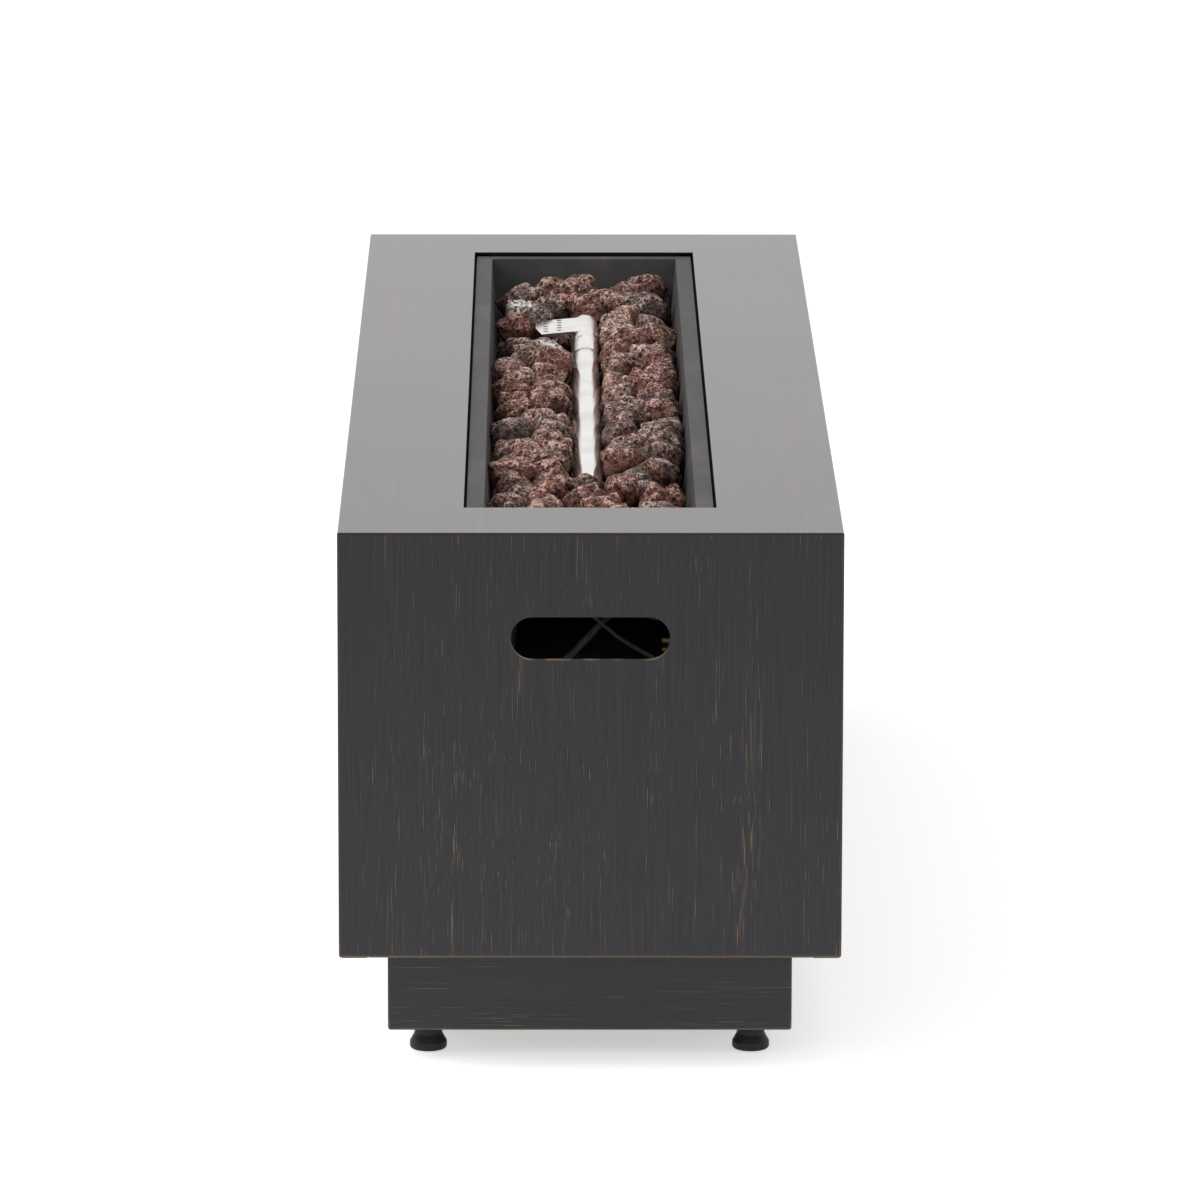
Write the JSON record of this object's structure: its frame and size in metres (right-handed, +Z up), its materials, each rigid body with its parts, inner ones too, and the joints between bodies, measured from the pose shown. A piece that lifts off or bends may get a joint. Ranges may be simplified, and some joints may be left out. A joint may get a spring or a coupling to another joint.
{
  "type": "propane fire pit",
  "caption": "Long low gas fire pit: coated steel casing on a recessed plinth with levelling feet, open pan of lava rock, burner tube, perforated igniter hood, gas valve and igniter.",
  "frame": {"origin": "on the floor, under the middle of the casing", "axes": "+Y along the casing's length, away from the pictured end; +X towards the side with the gas controls; +Z up"},
  "size_m": [0.356, 1.219, 0.39],
  "materials": {
    "casing_coat": "brushed, dark bronze satin coat",
    "plinth_coat": "brushed, dark bronze satin coat",
    "plain_steel": "zinc plated",
    "pan_steel": "matt heat-resistant paint",
    "stainless": "bright brushed",
    "brass": "turned",
    "pipe_aluminium": "drawn",
    "black_plastic": "moulded",
    "button_plastic": "moulded, gloss",
    "white_ceramic": "unglazed",
    "lead_rubber": "matt",
    "lead_copper": "sleeved",
    "lava_stone": "porous lava rock"
  },
  "bodies": {
    "casing": {"top_panel": "casing_coat", "side_panel_left": "casing_coat", "side_panel_right": "casing_coat", "end_panel_front": "casing_coat", "end_panel_rear": "casing_coat", "corner_angles": "casing_coat", "base_plate": "casing_coat", "plinth_front": "plinth_coat", "plinth_right": "plinth_coat", "plinth_rear": "plinth_coat", "plinth_left": "plinth_coat", "foot_plates": "plain_steel", "weld_nuts": "plain_steel", "pan_rail_left": "plain_steel", "pan_rail_right": "plain_steel", "pan_rail_front": "plain_steel", "pan_rail_rear": "plain_steel", "burner_pan": "pan_steel", "burner_tube": "stainless", "burner_end_cap": "stainless", "burner_saddles": "stainless", "riser_locknuts": "brass", "mixer_tube": "stainless", "gas_orifice": "brass", "gas_pipe": "pipe_aluminium", "pipe_nuts": "brass", "control_tray": "casing_coat", "gas_valve": "brass", "valve_nut": "brass", "igniter_body": "black_plastic", "igniter_collar": "black_plastic", "igniter_hood": "stainless", "igniter_bracket": "stainless", "electrode_insulator": "white_ceramic", "electrode_rod": "stainless", "thermocouple_probe": "stainless", "igniter_lead": "lead_rubber", "thermocouple_lead": "lead_copper", "lead_clips": "black_plastic", "base_rivets": "pipe_aluminium", "pan_rivets": "stainless", "plinth_bolts": "plain_steel", "plinth_nuts": "plain_steel", "lava_rocks": "lava_stone"},
    "foot_front_left": {"foot_pad_front_left": "black_plastic", "foot_stem_front_left": "plain_steel"},
    "foot_front_right": {"foot_pad_front_right": "black_plastic", "foot_stem_front_right": "plain_steel"},
    "foot_rear_left": {"foot_pad_rear_left": "black_plastic", "foot_stem_rear_left": "plain_steel"},
    "foot_rear_right": {"foot_pad_rear_right": "black_plastic", "foot_stem_rear_right": "plain_steel"},
    "valve_plunger": {"valve_plunger": "stainless"},
    "control_knob": {"control_knob": "black_plastic", "valve_stem": "stainless"},
    "igniter_button": {"igniter_button": "button_plastic"}
  },
  "joints": [
    {"name": "foot_front_left_level", "type": "slide", "parent": "casing", "child": "foot_front_left", "axis": [0, 0, -1], "range_m": [0, 0.012]},
    {"name": "foot_front_right_level", "type": "slide", "parent": "casing", "child": "foot_front_right", "axis": [0, 0, -1], "range_m": [0, 0.012]},
    {"name": "foot_rear_left_level", "type": "slide", "parent": "casing", "child": "foot_rear_left", "axis": [0, 0, -1], "range_m": [0, 0.012]},
    {"name": "foot_rear_right_level", "type": "slide", "parent": "casing", "child": "foot_rear_right", "axis": [0, 0, -1], "range_m": [0, 0.012]},
    {"name": "knob_push", "type": "slide", "parent": "casing", "child": "valve_plunger", "axis": [-1, 0, 0], "range_m": [0, 0.004], "stiffness_N_per_m": 1500, "springref_m": -0.003},
    {"name": "knob_turn", "type": "hinge", "parent": "valve_plunger", "child": "control_knob", "pos_m": [0.16, -0.43, 0.273], "axis": [1, 0, 0], "range_deg": [0, 150]},
    {"name": "igniter_push", "type": "slide", "parent": "casing", "child": "igniter_button", "axis": [-1, 0, 0], "range_m": [0, 0.0045], "stiffness_N_per_m": 2000, "springref_m": -0.002}
  ]
}
